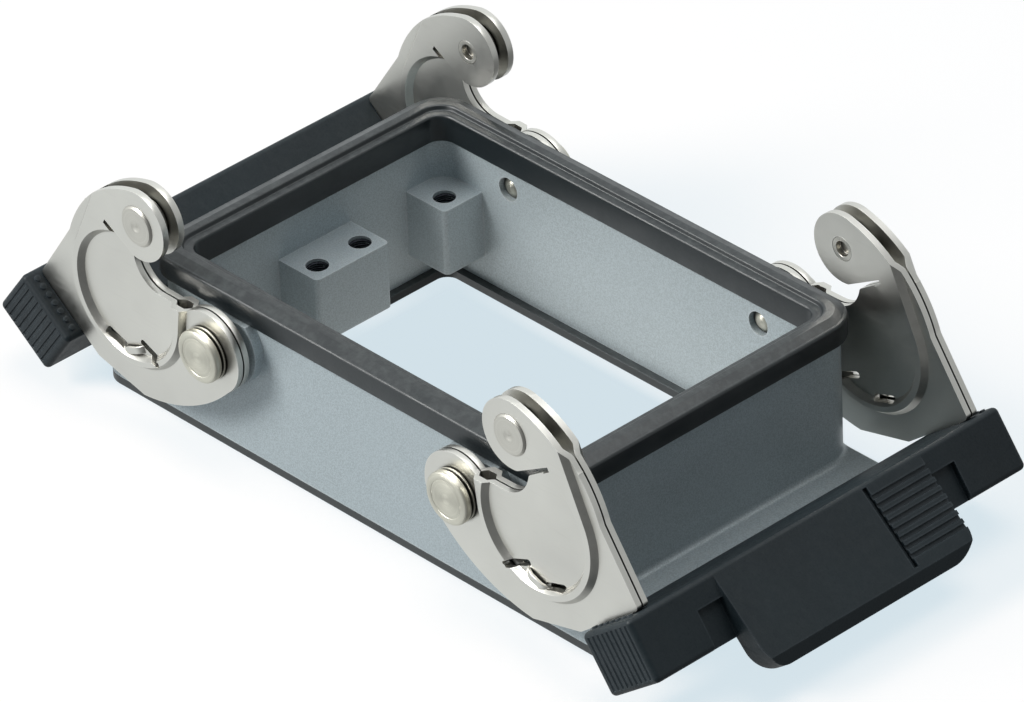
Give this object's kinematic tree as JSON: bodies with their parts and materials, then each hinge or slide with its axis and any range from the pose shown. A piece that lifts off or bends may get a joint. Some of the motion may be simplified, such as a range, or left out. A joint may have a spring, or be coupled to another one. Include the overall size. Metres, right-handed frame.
{
  "type": "heavy duty rectangular connector housing",
  "caption": "Panel mounting housing for rectangular multipole connector inserts, with a rim seal, a panel gasket and stamped locking levers with moulded handles.",
  "frame": {"origin": "middle of the underside of the panel gasket, on the panel's face", "axes": "+Z out of the panel towards the mating hood, +X along the housing towards the right lever, +Y towards the back long wall"},
  "size_m": [0.141, 0.069, 0.0394],
  "materials": {
    "housing_coat": "satin grey powder coat on die-cast aluminium",
    "gasket_rubber": "matte moulded rubber",
    "seal_rubber": "matte moulded rubber",
    "stud_steel": "turned, nickel plated, softly matte",
    "lever_sheet": "stamped spring steel, bright nickel plated",
    "roller_steel": "hardened, ground",
    "rivet_steel": "nickel plated",
    "handle_plastic": "finely textured moulded plastic"
  },
  "bodies": {
    "base": {"housing": "housing_coat", "panel_gasket": "gasket_rubber", "rim_seal": "seal_rubber", "pivot_stud_right_front": "stud_steel", "pivot_stud_right_back": "stud_steel", "pivot_stud_left_front": "stud_steel", "pivot_stud_left_back": "stud_steel"},
    "lever_right": {"outer_plate_right_front": "lever_sheet", "outer_plate_right_back": "lever_sheet", "inner_plate_right_front": "lever_sheet", "inner_plate_right_back": "lever_sheet", "roller_rivet_right_front": "rivet_steel", "roller_rivet_right_back": "rivet_steel", "handle_right": "handle_plastic"},
    "lever_left": {"outer_plate_left_front": "lever_sheet", "outer_plate_left_back": "lever_sheet", "inner_plate_left_front": "lever_sheet", "inner_plate_left_back": "lever_sheet", "roller_rivet_left_front": "rivet_steel", "roller_rivet_left_back": "rivet_steel", "handle_left": "handle_plastic"},
    "roller_right_front": {"hook_roller_right_front": "roller_steel"},
    "roller_right_back": {"hook_roller_right_back": "roller_steel"},
    "roller_left_front": {"hook_roller_left_front": "roller_steel"},
    "roller_left_back": {"hook_roller_left_back": "roller_steel"}
  },
  "joints": [
    {"name": "lever_right_hinge", "type": "hinge", "parent": "base", "child": "lever_right", "pos_m": [0.0246, 0, 0.0188], "axis": [0, -1, 0], "range_deg": [0, 50]},
    {"name": "lever_left_hinge", "type": "hinge", "parent": "base", "child": "lever_left", "pos_m": [-0.0246, 0, 0.0188], "axis": [0, 1, 0], "range_deg": [0, 50]},
    {"name": "roller_right_front_spin", "type": "hinge", "parent": "lever_right", "child": "roller_right_front", "pos_m": [0.0366, -0.03065, 0.0341], "axis": [0, 1, 0], "continuous": true},
    {"name": "roller_right_back_spin", "type": "hinge", "parent": "lever_right", "child": "roller_right_back", "pos_m": [0.0366, 0.03065, 0.0341], "axis": [0, 1, 0], "continuous": true},
    {"name": "roller_left_front_spin", "type": "hinge", "parent": "lever_left", "child": "roller_left_front", "pos_m": [-0.0366, -0.03065, 0.0341], "axis": [0, 1, 0], "continuous": true},
    {"name": "roller_left_back_spin", "type": "hinge", "parent": "lever_left", "child": "roller_left_back", "pos_m": [-0.0366, 0.03065, 0.0341], "axis": [0, 1, 0], "continuous": true}
  ]
}
